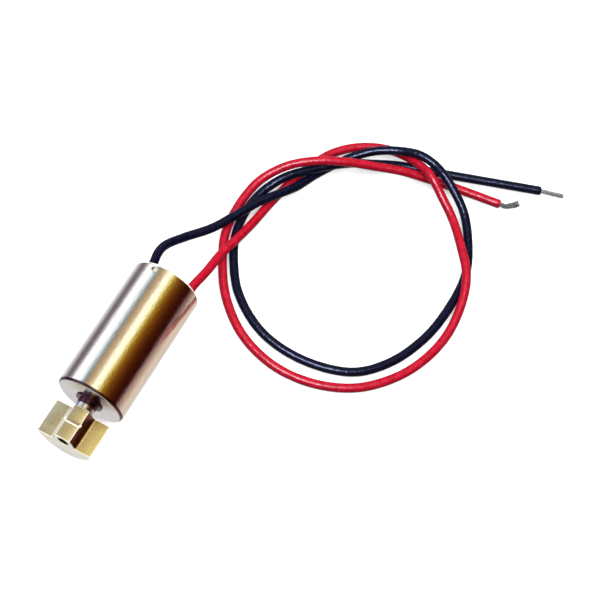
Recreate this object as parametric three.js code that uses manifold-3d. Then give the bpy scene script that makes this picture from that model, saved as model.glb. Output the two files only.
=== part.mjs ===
// A cylindrical vibration motor: a coreless brushed motor in a drawn metal can, with an eccentric
// half-moon weight on its shaft and two thin insulated leads.
//
// Millimetres, +Z up. The motor lies on its side: its axis runs along Y at the height of the can's
// radius, the weight is at -Y and the leads leave at +Y. The origin is on the surface that the can
// lies on, under the middle of the motor (the weight's front face to the end cap's rear face).

import * as THREE from 'three';
import { mergeVertices } from 'three/addons/utils/BufferGeometryUtils.js';
import Module from 'manifold-3d';

const wasm = await Module();
wasm.setup();

// ---------------------------------------------------------------------------------- dimensions

// Round pieces are regular prisms, turned so that one side lies at the bottom: the can, its cap and
// the weight have the first number of sides, and what is small or inside has the second.
const SIDES = 72;
const SMALL_SIDES = 36;

// Clearances: pieces that touch or are pressed together, and the shaft running in its bearings.
const SEAT = 0.01;
const RUNNING = 0.03;

// Can
const CAN_DIAMETER = 6.0;
const CAN_LENGTH = 12.0;
const CAN_WALL = 0.25;
const CAN_FRONT_WALL = 0.3;
const CAN_EDGE_RADIUS = 0.3;
const CAN_REAR_CHAMFER = 0.06;
const CRIMP_COUNT = 3;
const CRIMP_DIAMETER = 0.6;
const CRIMP_DEPTH = 0.12;
const CRIMP_FROM_REAR = 0.42;
const CRIMP_FIRST_ANGLE = -18;

// Shaft, bearings and the tube that holds them
const SHAFT_DIAMETER = 0.8;
const SHAFT_CHAMFER = 0.06;
const SHAFT_PAST_COMMUTATOR = 0.35;
const SHAFT_RECESS_IN_WEIGHT = 0.6;
const TUBE_DIAMETER = 1.9;
const TUBE_WALL = 0.25;
const FLANGE_DIAMETER = 2.4;
const FLANGE_THICKNESS = 0.12;
const BOSS_DIAMETER = 1.72;
const BOSS_LENGTH = 0.47;
const BOSS_CHAMFER = 0.08;
const FRONT_BEARING_DEPTH = 1.5;
const REAR_BEARING_LENGTH = 1.4;
const COLLAR_DIAMETER = 1.66;
const COLLAR_LENGTH = 0.43;
const WASHER_DIAMETER = 1.5;
const WASHER_THICKNESS = 0.2;
const WASHER_TO_COIL_PLATE = 0.07;

// Eccentric weight: heights are above the shaft's centre line
const WEIGHT_RADIUS = 2.5;
const WEIGHT_LENGTH = 3.0;
const WEIGHT_WING_HEIGHT = -0.4;
const WEIGHT_HUB_HEIGHT = 0.68;
const WEIGHT_HUB_WIDTH = 1.34;
const WEIGHT_FLANK_SLOPE = 72;
const WEIGHT_FILLET_RADIUS = 0.3;
const WEIGHT_MOUTH_DIAMETER = 0.98;
const STAKE_FROM_REAR = 1.38;
const STAKE_WIDTH = 0.5;
const STAKE_DEPTH = 0.22;
const ROTOR_REST_ANGLE = -5;

// Magnet and coil
const MAGNET_DIAMETER = 3.8;
const MAGNET_FROM_FRONT_WALL = 0.5;
const MAGNET_FROM_TUBE_END = 0.2;
const COIL_GAP = 0.2;
const COIL_WALL = 0.4;
const COIL_FROM_FRONT_WALL = 0.6;
const COIL_FROM_CAP = 2.45;
const COIL_PLATE_THICKNESS = 0.6;
const SLEEVE_DIAMETER = 1.6;

// Commutator and brushes
const SEGMENT_COUNT = 3;
const SEGMENT_ANGLE = 110;
const SEGMENT_THICKNESS = 0.12;
const SEGMENT_LENGTH = 1.6;
const RISER_ANGLE = 56;
const RISER_RADIUS = 1.5;
const RISER_THICKNESS = 0.2;
const BRUSH_THICKNESS = 0.08;
const BRUSH_WIDTH = 0.8;
const BRUSH_TIP_CLEARANCE = 0.25;
const BRUSH_TIP_LIFT = 0.16;

// End cap, terminals and solder joints
const CAP_PROUD = 0.45;
const CAP_THICKNESS = 1.1;
const CAP_SKIRT_DEPTH = 0.4;
const CAP_SKIRT_WALL = 0.43;
const CAP_CHAMFER = 0.1;
const LEAD_SPACING = 3.8;
const LEAD_DEPTH = 0.35;
const SOLDER_DIAMETER = 0.64;
const SOLDER_LENGTH = 0.27;
const PIN_DIAMETER = 0.4;
const PIN_HOLE_DIAMETER = 0.5;
const TERMINAL_INNER = 1.5;
const TERMINAL_OUTER = 2.18;
const TERMINAL_WIDTH = 0.7;
const TERMINAL_THICKNESS = 0.15;

// Leads: the insulation's diameter, the bare core's, and the straight length outside the cap
const LEAD_DIAMETER = 0.78;
const CORE_DIAMETER = 0.34;
const LEAD_HOLE_CLEARANCE = 0.03;
const LEAD_STRAIGHT = 0.45;
const LEAD_SIDES = 8;
const LEAD_STEPS = 78;
const TIP_STEPS = 6;
const TIP_GAP = 0.03;

// Route of each lead's centre line, from its first turn outside the end cap to the end of its
// insulation. X is across the motor, Y runs back from the cap's rear face and Z up from the surface.
const RED_ROUTE = [
  [2.05, 2.6, 2.25], [2.1, 5.0, 1.4], [2.5, 7.0, 1.25], [2.8, 9.2, 0.75], [3.1, 11.9, 0.44],
  [3.5, 14.1, 0.41], [4.2, 16.6, 0.41], [5.3, 19.0, 0.41], [7.0, 20.8, 0.41], [9.1, 21.9, 0.43],
  [10.8, 22.0, 0.75], [12.4, 21.6, 1.4], [14.0, 20.9, 1.75], [15.7, 19.9, 1.2], [17.4, 18.7, 0.85],
  [19.4, 16.4, 1.2], [20.9, 14.4, 1.25], [21.7, 12.2, 0.9], [22.0, 9.1, 0.46], [21.4, 6.0, 0.41],
  [20.0, 3.2, 0.41], [17.6, 0.7, 0.41], [14.3, -0.8, 0.41], [10.8, -1.1, 0.41], [7.3, -0.1, 0.41],
  [4.4, 2.1, 0.41], [2.5, 4.7, 0.41], [1.3, 7.2, 0.42], [0.9, 10.0, 0.5], [1.3, 12.9, 1.0],
  [2.7, 15.1, 1.65], [4.7, 16.7, 2.1], [6.9, 18.0, 2.05], [9.3, 19.3, 1.5], [11.5, 20.3, 1.2],
  [13.9, 21.1, 0.75], [16.6, 21.8, 0.44], [20.3, 22.4, 0.42],
];
const BLACK_ROUTE = [
  [-2.15, 1.8, 2.8], [-2.1, 2.9, 2.35], [-1.3, 4.6, 1.7], [0.2, 6.8, 1.3], [1.5, 9.3, 1.3],
  [2.3, 11.0, 1.25], [3.5, 12.8, 1.2], [4.35, 14.4, 0.78], [5.1, 16.4, 0.47], [6.2, 18.4, 0.42],
  [7.4, 19.9, 0.75], [8.8, 21.0, 1.2], [10.5, 21.8, 1.55], [12.1, 22.1, 2.0], [13.6, 22.0, 2.0],
  [14.9, 21.7, 1.6], [16.4, 20.9, 1.25], [18.0, 19.8, 0.7], [19.8, 17.2, 0.43], [20.8, 14.7, 0.41],
  [21.0, 11.4, 0.41], [20.5, 7.7, 0.41], [19.0, 4.2, 0.41], [16.7, 1.8, 0.41], [12.6, 0.6, 0.41],
  [8.5, 1.0, 0.41], [5.1, 3.0, 0.41], [3.2, 5.4, 0.41], [2.1, 7.6, 0.41], [1.7, 9.9, 0.43],
  [2.0, 12.3, 0.68], [3.1, 14.4, 1.2], [4.4, 15.9, 1.28], [6.9, 18.3, 1.22], [8.9, 19.8, 0.75],
  [11.0, 21.1, 0.43], [13.5, 22.0, 0.41], [22.8, 25.5, 0.41],
];

// Route of each bare tip, past the last point of its lead's route
const RED_TIP = [[20.8, 22.48, 0.42], [21.25, 22.8, 0.5], [21.7, 23.25, 0.6]];
const BLACK_TIP = [[23.5, 25.7, 0.41], [24.15, 25.9, 0.4], [24.75, 26.1, 0.38]];

// ---------------------------------------------------------------------------- derived positions

// Inside the motor, lengths run along Y from the can's front face (0), positive towards the rear.
const canRadius = CAN_DIAMETER / 2;
const canBore = canRadius - CAN_WALL;
const axisHeight = canRadius * Math.cos(Math.PI / SIDES);
const capRear = CAN_LENGTH + CAP_PROUD;
const collarFront = -BOSS_LENGTH - RUNNING - COLLAR_LENGTH;
const weightRear = collarFront - 2 * SEAT;
const weightFront = weightRear - WEIGHT_LENGTH;
const frontFaceY = -(weightFront + capRear) / 2;

const shaftRadius = SHAFT_DIAMETER / 2;
const bearingBore = shaftRadius + RUNNING;
const pressedBore = shaftRadius + SEAT;
const tubeRadius = TUBE_DIAMETER / 2;
const tubeBore = tubeRadius - TUBE_WALL;

const coilRadius = canBore - COIL_GAP;
const coilBore = coilRadius - COIL_WALL;
const coilStart = CAN_FRONT_WALL + COIL_FROM_FRONT_WALL;
const capInner = capRear - CAP_THICKNESS;
const coilEnd = capInner - COIL_FROM_CAP;
const coilPlateFront = coilEnd - COIL_PLATE_THICKNESS;
const washerStart = coilPlateFront - WASHER_TO_COIL_PLATE - WASHER_THICKNESS;
const tubeEnd = washerStart - RUNNING;
const magnetStart = CAN_FRONT_WALL + MAGNET_FROM_FRONT_WALL;
const magnetEnd = tubeEnd - MAGNET_FROM_TUBE_END;
const segmentStart = coilEnd + SEAT;
const segmentEnd = segmentStart + RISER_THICKNESS + SEGMENT_LENGTH;
const sleeveRadius = SLEEVE_DIAMETER / 2;
const segmentRadius = sleeveRadius + SEAT + SEGMENT_THICKNESS;
const shaftEnd = segmentEnd + SHAFT_PAST_COMMUTATOR;

const capRadius = canBore - 2 * SEAT;
const leadX = LEAD_SPACING / 2;
const leadHoleRadius = LEAD_DIAMETER / 2 + LEAD_HOLE_CLEARANCE;
const leadStart = capRear - LEAD_DEPTH;
const solderEnd = leadStart - 2 * SEAT;
const solderStart = solderEnd - SOLDER_LENGTH;
const leadHoleStart = solderStart - 4 * SEAT;
const pinEnd = solderStart - SEAT;
const terminalRear = capInner - SEAT;
const terminalFront = terminalRear - TERMINAL_THICKNESS;

// ------------------------------------------------------------------------------ shape helpers

// A closed mesh becomes a solid that can be cut and joined.
function solidOf(geometry) {
  const bare = geometry.clone();
  bare.deleteAttribute('normal');
  bare.deleteAttribute('uv');
  const merged = mergeVertices(bare, 1e-4);
  const index = merged.index.array;
  const kept = [];
  for (let i = 0; i < index.length; i += 3) {
    const [a, b, c] = [index[i], index[i + 1], index[i + 2]];
    if (a !== b && b !== c && c !== a) kept.push(a, b, c);
  }
  return new wasm.Manifold(new wasm.Mesh({
    numProp: 3,
    vertProperties: new Float32Array(merged.attributes.position.array),
    triVerts: new Uint32Array(kept),
  }));
}

function geometryOf(solid) {
  const mesh = solid.getMesh();
  const geometry = new THREE.BufferGeometry();
  geometry.setAttribute('position', new THREE.BufferAttribute(new Float32Array(mesh.vertProperties), 3));
  geometry.setIndex(new THREE.BufferAttribute(new Uint32Array(mesh.triVerts), 1));
  geometry.computeVertexNormals();
  return geometry;
}

function cut(geometry, ...tools) {
  const left = tools.reduce((solid, tool) => solid.subtract(solidOf(tool)), solidOf(geometry));
  return geometryOf(left);
}

function join(first, second) {
  return geometryOf(solidOf(first).add(solidOf(second)));
}

// A solid turned about the motor's axis. The outline is a list of [radius, along] points that runs
// towards the rear on the outside; it starts and ends on the axis, or closes on itself.
function turned(outline, sides = SIDES) {
  const points = outline.map(([radius, along]) => new THREE.Vector2(radius, along));
  return new THREE.LatheGeometry(points, sides, Math.PI / sides);
}

function ring(inner, outer, start, end) {
  const outline = [[inner, start], [outer, start], [outer, end], [inner, end], [inner, start]];
  return turned(outline, SMALL_SIDES);
}

function rod(radius, start, end, sides = SMALL_SIDES) {
  return turned([[0, start], [radius, start], [radius, end], [0, end]], sides);
}

// A flat outline, drawn as seen from the front with X to the right and Z up, given a length along Y.
function prism(shape, start, end, curveSegments = SIDES / 2) {
  const geometry = new THREE.ExtrudeGeometry(shape, {
    depth: end - start,
    bevelEnabled: false,
    curveSegments,
  });
  return geometry.rotateX(Math.PI / 2).translate(0, end, 0);
}

function box(x0, x1, y0, y1, z0, z1) {
  const geometry = new THREE.BoxGeometry(x1 - x0, y1 - y0, z1 - z0);
  return geometry.translate((x0 + x1) / 2, (y0 + y1) / 2, (z0 + z1) / 2);
}

// A round tube along a smooth line through the points.
function tube(points, diameter, steps) {
  const curve = new THREE.CatmullRomCurve3(points.map((p) => new THREE.Vector3(...p)));
  const section = new THREE.Shape();
  for (let i = 0; i < LEAD_SIDES; i += 1) {
    const angle = (2 * Math.PI * i) / LEAD_SIDES;
    const corner = [(diameter / 2) * Math.cos(angle), (diameter / 2) * Math.sin(angle)];
    if (i === 0) section.moveTo(...corner);
    else section.lineTo(...corner);
  }
  section.closePath();
  return new THREE.ExtrudeGeometry(section, { steps, extrudePath: curve, bevelEnabled: false });
}

// ----------------------------------------------------------------------------------- materials

const finish = (color, roughness, metalness) =>
  new THREE.MeshStandardMaterial({ color, roughness, metalness });

const nickel = () => finish(0xd8cfc0, 0.18, 1.0);
const bronze = () => finish(0x3a2f28, 0.45, 0.9);
const steel = () => finish(0xb9bcc2, 0.3, 1.0);
const tungsten = () => finish(0xb3a67e, 0.45, 0.9);
const brass = () => finish(0xc9a24a, 0.35, 1.0);
const magnetGrey = () => finish(0x5c5e63, 0.5, 0.8);
const copper = () => finish(0xb4602f, 0.4, 0.8);
const gold = () => finish(0xe0bb56, 0.25, 1.0);
const solder = () => finish(0xc4c6c9, 0.35, 1.0);
const capPlastic = () => finish(0xe9e2d0, 0.5, 0.0);
const darkPlastic = () => finish(0x2a2a2c, 0.5, 0.0);
const redPvc = () => finish(0xc4061c, 0.35, 0.0);
const blackPvc = () => finish(0x0c0c12, 0.35, 0.0);

// ---------------------------------------------------------------------------- stationary pieces

function piece(name, geometry, material) {
  const mesh = new THREE.Mesh(geometry, material);
  mesh.name = name;
  return mesh;
}

// Drawn can: flat front with a round hole for the bearing tube, rounded front edge, open rear.
function canShape() {
  const outline = [[tubeRadius + SEAT, 0]];
  const arcSteps = 6;
  for (let i = 0; i <= arcSteps; i += 1) {
    const angle = (Math.PI / 2) * (i / arcSteps);
    outline.push([
      canRadius - CAN_EDGE_RADIUS * (1 - Math.sin(angle)),
      CAN_EDGE_RADIUS * (1 - Math.cos(angle)),
    ]);
  }
  outline.push(
    [canRadius, CAN_LENGTH - CAN_REAR_CHAMFER],
    [canRadius - CAN_REAR_CHAMFER, CAN_LENGTH],
    [canBore, CAN_LENGTH],
    [canBore, CAN_FRONT_WALL],
    [tubeRadius + SEAT, CAN_FRONT_WALL],
    [tubeRadius + SEAT, 0],
  );
  const crimps = [];
  for (let i = 0; i < CRIMP_COUNT; i += 1) {
    const angle = THREE.MathUtils.degToRad(CRIMP_FIRST_ANGLE + (360 * i) / CRIMP_COUNT);
    const punch = new THREE.CylinderGeometry(CRIMP_DIAMETER / 2, CRIMP_DIAMETER / 2, 1, 20);
    punch.rotateX(Math.PI / 2);
    punch.translate(0, CAN_LENGTH - CRIMP_FROM_REAR, canRadius - CRIMP_DEPTH + 0.5);
    crimps.push(punch.rotateY(angle));
  }
  return cut(turned(outline), ...crimps);
}

// Sintered bush: a flange on the can's face, a boss outside it and a spigot in the bearing tube.
function frontBearingShape() {
  const boss = BOSS_DIAMETER / 2;
  const flange = FLANGE_DIAMETER / 2;
  return turned([
    [bearingBore, -BOSS_LENGTH],
    [boss - BOSS_CHAMFER, -BOSS_LENGTH],
    [boss, -BOSS_LENGTH + BOSS_CHAMFER],
    [boss, -FLANGE_THICKNESS],
    [flange, -FLANGE_THICKNESS],
    [flange, -SEAT],
    [tubeBore - SEAT, -SEAT],
    [tubeBore - SEAT, FRONT_BEARING_DEPTH],
    [bearingBore, FRONT_BEARING_DEPTH],
    [bearingBore, -BOSS_LENGTH],
  ], SMALL_SIDES);
}

// Moulded cap: a plate with a skirt inside the can, two holes for the leads and the terminal pins.
function endCapShape() {
  const skirtFront = capInner - CAP_SKIRT_DEPTH;
  const skirtBore = capRadius - CAP_SKIRT_WALL;
  const body = turned([
    [0, capInner],
    [skirtBore, capInner],
    [skirtBore, skirtFront],
    [capRadius, skirtFront],
    [capRadius, capRear - CAP_CHAMFER],
    [capRadius - CAP_CHAMFER, capRear],
    [0, capRear],
  ]);
  const holes = [];
  for (const side of [-1, 1]) {
    const leadHole = rod(leadHoleRadius, leadHoleStart, capRear + 1, 32);
    const pinHole = rod(PIN_HOLE_DIAMETER / 2, capInner - 1, leadHoleStart + SEAT, 24);
    holes.push(leadHole.translate(side * leadX, 0, 0), pinHole.translate(side * leadX, 0, 0));
  }
  return cut(body, ...holes);
}

// Plate on the cap's inner face with a pin that passes back through the cap. side is -1 or 1.
function terminalShape(side) {
  const [x0, x1] = [side * TERMINAL_INNER, side * TERMINAL_OUTER].sort((a, b) => a - b);
  const half = TERMINAL_WIDTH / 2;
  const plate = box(x0, x1, terminalFront, terminalRear, -half, half);
  const pinStart = (terminalFront + terminalRear) / 2;
  const pin = rod(PIN_DIAMETER / 2, pinStart, pinEnd, 20).translate(side * leadX, 0, 0);
  return join(plate, pin);
}

// The outline of a thin strip: its centre line, widened by half the thickness to each side.
function stripOutline(line, thickness) {
  const points = line.map(([x, y]) => new THREE.Vector2(x, y));
  const last = points.length - 1;
  const heading = (i) => points[i + 1].clone().sub(points[i]).normalize();
  const edge = (sign) => points.map((point, i) => {
    const into = heading(Math.max(i - 1, 0));
    const out = heading(Math.min(i, last - 1));
    const along = into.clone().add(out).normalize();
    const reach = (sign * thickness) / 2 / along.dot(into);
    return point.clone().add(new THREE.Vector2(-along.y, along.x).multiplyScalar(reach));
  });
  return new THREE.Shape([...edge(1), ...edge(-1).reverse()]);
}

// Leaf brush: its foot lies on the terminal, it slants in and its flat bears on the commutator.
function brushShape(side) {
  const foot = terminalFront - SEAT - BRUSH_THICKNESS / 2;
  const contact = segmentRadius + SEAT + BRUSH_THICKNESS / 2;
  const tip = segmentStart + RISER_THICKNESS + BRUSH_TIP_CLEARANCE;
  const line = [
    [TERMINAL_OUTER, foot],
    [TERMINAL_INNER, foot],
    [contact, foot - (TERMINAL_INNER - contact)],
    [contact, tip + BRUSH_TIP_LIFT],
    [contact + BRUSH_TIP_LIFT, tip],
  ];
  const strip = new THREE.ExtrudeGeometry(stripOutline(line, BRUSH_THICKNESS), {
    depth: BRUSH_WIDTH,
    bevelEnabled: false,
  });
  strip.translate(0, 0, -BRUSH_WIDTH / 2);
  return side > 0 ? strip : strip.rotateY(Math.PI);
}

// Round bead of solder between the pin and the lead's core.
function solderShape(side) {
  const outline = [];
  const steps = 8;
  for (let i = 0; i <= steps; i += 1) {
    const angle = (Math.PI * i) / steps;
    const radius = i % steps === 0 ? 0 : (SOLDER_DIAMETER / 2) * Math.sin(angle);
    outline.push([radius, solderStart + (SOLDER_LENGTH / 2) * (1 - Math.cos(angle))]);
  }
  return turned(outline, 24).translate(side * leadX, 0, 0);
}

// ------------------------------------------------------------------------------- moving pieces

// Half-moon weight: two flat wings, a raised hub round the shaft whose flanks slope down to the wings
// through a fillet, and a V notch staked across the hub's top.
function weightShape() {
  const wingAngle = Math.asin(WEIGHT_WING_HEIGHT / WEIGHT_RADIUS);
  const hub = WEIGHT_HUB_WIDTH / 2;
  const slope = THREE.MathUtils.degToRad(WEIGHT_FLANK_SLOPE);
  const fillet = WEIGHT_FILLET_RADIUS;
  const flankDrop = WEIGHT_HUB_HEIGHT - WEIGHT_WING_HEIGHT - fillet * (1 - Math.cos(slope));
  const wingStart = hub + flankDrop / Math.tan(slope) + fillet * Math.sin(slope);
  const filletCentre = WEIGHT_WING_HEIGHT + fillet;
  const down = -Math.PI / 2;
  const outline = new THREE.Shape();
  outline.absarc(0, 0, WEIGHT_RADIUS, Math.PI - wingAngle, 2 * Math.PI + wingAngle, false);
  outline.absarc(wingStart, filletCentre, fillet, down, down - slope, true);
  outline.lineTo(hub, WEIGHT_HUB_HEIGHT);
  outline.lineTo(-hub, WEIGHT_HUB_HEIGHT);
  outline.absarc(-wingStart, filletCentre, fillet, down + slope, down, true);
  outline.closePath();
  const stakeY = weightRear - STAKE_FROM_REAR;
  const notch = new THREE.Shape([
    new THREE.Vector2(stakeY, WEIGHT_HUB_HEIGHT - STAKE_DEPTH),
    new THREE.Vector2(stakeY + STAKE_WIDTH, WEIGHT_HUB_HEIGHT + STAKE_DEPTH),
    new THREE.Vector2(stakeY - STAKE_WIDTH, WEIGHT_HUB_HEIGHT + STAKE_DEPTH),
  ]);
  const punch = new THREE.ExtrudeGeometry(notch, { depth: 2 * wingStart, bevelEnabled: false });
  punch.rotateX(Math.PI / 2).rotateZ(Math.PI / 2).translate(-wingStart, 0, 0);
  const bore = rod(pressedBore, weightFront - 1, weightRear + 1);
  const mouth = rod(WEIGHT_MOUTH_DIAMETER / 2, weightFront - 1, weightFront + SHAFT_RECESS_IN_WEIGHT);
  return cut(prism(outline, weightFront, weightRear), bore, mouth, punch);
}

function shaftShape() {
  const start = weightFront + SHAFT_RECESS_IN_WEIGHT;
  return turned([
    [0, start],
    [shaftRadius - SHAFT_CHAMFER, start],
    [shaftRadius, start + SHAFT_CHAMFER],
    [shaftRadius, shaftEnd - SHAFT_CHAMFER],
    [shaftRadius - SHAFT_CHAMFER, shaftEnd],
    [0, shaftEnd],
  ], SMALL_SIDES);
}

// Disc that closes the coil's rear end, with a sleeve that carries the commutator.
function coilPlateShape() {
  const outer = coilBore - SEAT;
  return turned([
    [pressedBore, coilPlateFront],
    [outer, coilPlateFront],
    [outer, coilEnd],
    [sleeveRadius, coilEnd],
    [sleeveRadius, segmentEnd],
    [pressedBore, segmentEnd],
    [pressedBore, coilPlateFront],
  ], SMALL_SIDES);
}

function arcSector(inner, outer, degrees) {
  const half = THREE.MathUtils.degToRad(degrees / 2);
  const sector = new THREE.Shape();
  sector.absarc(0, 0, outer, Math.PI / 2 - half, Math.PI / 2 + half, false);
  sector.absarc(0, 0, inner, Math.PI / 2 + half, Math.PI / 2 - half, true);
  sector.closePath();
  return sector;
}

// Commutator segment: a curved bar on the sleeve with a riser that the coil's wires are joined to.
function segmentShape(index) {
  const inner = sleeveRadius + SEAT;
  const middle = (inner + segmentRadius) / 2;
  const bar = prism(arcSector(inner, segmentRadius, SEGMENT_ANGLE), segmentStart, segmentEnd, 16);
  const riserEnd = segmentStart + RISER_THICKNESS;
  const riser = prism(arcSector(middle, RISER_RADIUS, RISER_ANGLE), segmentStart, riserEnd, 8);
  return join(bar, riser).rotateY((2 * Math.PI * index) / SEGMENT_COUNT);
}

// ------------------------------------------------------------------------------------ assembly

const stator = new THREE.Group();
stator.add(
  piece('motor_can', canShape(), nickel()),
  piece('front_bearing', frontBearingShape(), bronze()),
  piece('bearing_tube', ring(tubeBore, tubeRadius, 0, tubeEnd), brass()),
  piece(
    'rear_bearing',
    ring(bearingBore, tubeBore - SEAT, tubeEnd - REAR_BEARING_LENGTH, tubeEnd),
    bronze(),
  ),
  piece(
    'magnet',
    ring(tubeRadius + SEAT, MAGNET_DIAMETER / 2, magnetStart, magnetEnd),
    magnetGrey(),
  ),
  piece('end_cap', endCapShape(), capPlastic()),
);
for (const [colour, side] of [['red', 1], ['black', -1]]) {
  stator.add(
    piece(`terminal_${colour}`, terminalShape(side), brass()),
    piece(`brush_${colour}`, brushShape(side), gold()),
    piece(`solder_joint_${colour}`, solderShape(side), solder()),
  );
}

const rotor = new THREE.Group();
rotor.rotation.y = THREE.MathUtils.degToRad(ROTOR_REST_ANGLE);
rotor.add(
  piece('shaft', shaftShape(), steel()),
  piece('eccentric_weight', weightShape(), tungsten()),
  piece(
    'front_collar',
    ring(pressedBore, COLLAR_DIAMETER / 2, collarFront, collarFront + COLLAR_LENGTH),
    steel(),
  ),
  piece(
    'rear_washer',
    ring(pressedBore, WASHER_DIAMETER / 2, washerStart, washerStart + WASHER_THICKNESS),
    darkPlastic(),
  ),
  piece('coil', ring(coilBore, coilRadius, coilStart, coilEnd), copper()),
  piece('coil_plate', coilPlateShape(), darkPlastic()),
);
for (let i = 0; i < SEGMENT_COUNT; i += 1) {
  rotor.add(piece(`commutator_segment_${i + 1}`, segmentShape(i), gold()));
}

const motor = new THREE.Group();
motor.position.set(0, frontFaceY, axisHeight);
motor.add(stator, rotor);

// A lead starts inside the cap and comes straight out of its hole before its first turn.
function leadRoute(side, route) {
  const x = side * leadX;
  return [[x, -LEAD_DEPTH, axisHeight], [x, LEAD_STRAIGHT, axisHeight], ...route];
}

// A bare tip starts a little way past the insulation's end, along the line to its next point.
function tipRoute(route, tip) {
  const end = new THREE.Vector3(...route.at(-1));
  const towards = new THREE.Vector3(...tip[0]).sub(end).normalize();
  return [end.addScaledVector(towards, TIP_GAP).toArray(), ...tip];
}

const leads = new THREE.Group();
leads.position.y = frontFaceY + capRear;
leads.add(
  piece('lead_red', tube(leadRoute(1, RED_ROUTE), LEAD_DIAMETER, LEAD_STEPS), redPvc()),
  piece('lead_black', tube(leadRoute(-1, BLACK_ROUTE), LEAD_DIAMETER, LEAD_STEPS), blackPvc()),
  piece('lead_tip_red', tube(tipRoute(RED_ROUTE, RED_TIP), CORE_DIAMETER, TIP_STEPS), solder()),
  piece('lead_tip_black', tube(tipRoute(BLACK_ROUTE, BLACK_TIP), CORE_DIAMETER, TIP_STEPS), solder()),
);

const vibrationMotor = new THREE.Group();
vibrationMotor.add(motor, leads);

export default vibrationMotor;
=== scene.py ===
# %% [markdown]
# # A cylindrical vibration motor
#
# The real object is a coreless motor in a bright drawn can, six millimetres across. A half-moon
# weight sits on its shaft, and a red and a black lead leave the back. This notebook dresses the
# working frame: smooth metal, sintered weight, moulded cap, soft insulation and tinned strands.
# Everything is in metres, with the shaft along Y and the can lying on the surface at Z = 0.

import math

import bmesh
import bpy
from mathutils import Euler, Matrix, Vector


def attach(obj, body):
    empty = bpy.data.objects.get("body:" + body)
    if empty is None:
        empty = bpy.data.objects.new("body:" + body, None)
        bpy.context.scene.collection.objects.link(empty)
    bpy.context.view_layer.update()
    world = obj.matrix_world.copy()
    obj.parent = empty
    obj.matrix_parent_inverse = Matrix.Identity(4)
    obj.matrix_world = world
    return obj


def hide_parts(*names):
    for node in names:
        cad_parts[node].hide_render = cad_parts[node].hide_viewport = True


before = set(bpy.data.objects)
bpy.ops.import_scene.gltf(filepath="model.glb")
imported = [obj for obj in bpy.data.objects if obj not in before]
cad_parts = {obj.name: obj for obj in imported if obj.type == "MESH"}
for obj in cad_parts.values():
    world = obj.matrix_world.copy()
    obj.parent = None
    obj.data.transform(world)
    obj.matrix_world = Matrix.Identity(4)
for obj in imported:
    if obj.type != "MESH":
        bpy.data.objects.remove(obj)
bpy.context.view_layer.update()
scene = bpy.context.scene

# %% [markdown]
# ## The camera
#
# The motor is looked down on from about 66 degrees, from a little to its right, from about 15 cm
# away. A camera can be aimed with a tracking constraint, but a place and three turns, about X, Y and
# Z in that order, are simpler.

# %% Camera
CAMERA_PLACE = Vector((0.02931, -0.04641, 0.13920))
CAMERA_TURNS = [math.radians(degrees) for degrees in (23.9205, -4.9916, 29.1823)]

camera_data = bpy.data.cameras.new("studio_camera")
camera_data.lens = 108.2
camera_data.sensor_width = 36.0
camera_data.clip_start = 0.001
camera_data.clip_end = 20.0
camera = bpy.data.objects.new("studio_camera", camera_data)
scene.collection.objects.link(camera)
turn = Euler(CAMERA_TURNS).to_matrix().to_4x4()
camera.matrix_world = Matrix.Translation(CAMERA_PLACE) @ turn
scene.camera = camera
print("camera is", round(CAMERA_PLACE.length * 1000), "mm from the origin")

# %% [markdown]
# ## Sizes
#
# The smooth pieces take the same sizes as the frame. Lengths in this table are in millimetres,
# because a motor this small is drawn in them, and one factor turns them into metres.

# %% Sizes
MM = 0.001
CAN_RADIUS = 3.0
CAN_BORE = 2.75
CAN_LENGTH = 12.0
CAN_FRONT_WALL = 0.3
CAN_EDGE_RADIUS = 0.3
TUBE_HOLE_RADIUS = 0.96
BUSH_BORE, BUSH_TAIL_RADIUS, BUSH_TAIL_END = 0.43, 0.69, 1.5
FLANGE_RADIUS, FLANGE_THICKNESS = 1.2, 0.12
BOSS_RADIUS, BOSS_LENGTH = 0.86, 0.47
COLLAR_RADIUS, COLLAR_FRONT, COLLAR_LENGTH = 0.83, -0.93, 0.43
SHAFT_RADIUS, SHAFT_FRONT, SHAFT_REAR = 0.4, -3.35, 11.06
WEIGHT_BORE, WEIGHT_MOUTH = 0.41, 0.49
CAP_RADIUS, CAP_REAR, CAP_INNER = 2.73, 12.45, 11.35
CAP_HOLE, CAP_HOLE_MOUTH = 0.42, 0.53
LEAD_RADIUS, LEAD_DEPTH, LEAD_ASIDE = 0.39, 0.35, 1.9
AXIS_HEIGHT = 2.9971
FRONT_FACE_Y = -4.25
ROTOR_ANGLE = math.radians(-5.0)


def motor_place(rotor=False):
    """Takes a point drawn about the shaft, with Y from the can's front face, to its place."""
    place = Matrix.Translation((0.0, FRONT_FACE_Y, AXIS_HEIGHT))
    return place @ Matrix.Rotation(ROTOR_ANGLE, 4, "Y") if rotor else place


print("axis height", AXIS_HEIGHT, "mm")

# %% [markdown]
# ## Tools for meshes
#
# A mesh is made from lists of points and faces, in millimetres, then scaled into metres in its own
# vertices, so that its object stays at the origin. Faces above a sharp angle keep a crisp edge, and
# the rest shade smoothly.

# %% Mesh helpers


def mesh_object(name, points, faces, place=None, sharp=35.0):
    """A new object from points in millimetres, put in place and shaded."""
    mesh = bpy.data.meshes.new(name)
    place = place or Matrix.Identity(4)
    mesh.from_pydata([place @ Vector(p) * MM for p in points], [], faces)
    return shaded(bpy.data.objects.new(name, mesh), sharp)


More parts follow.
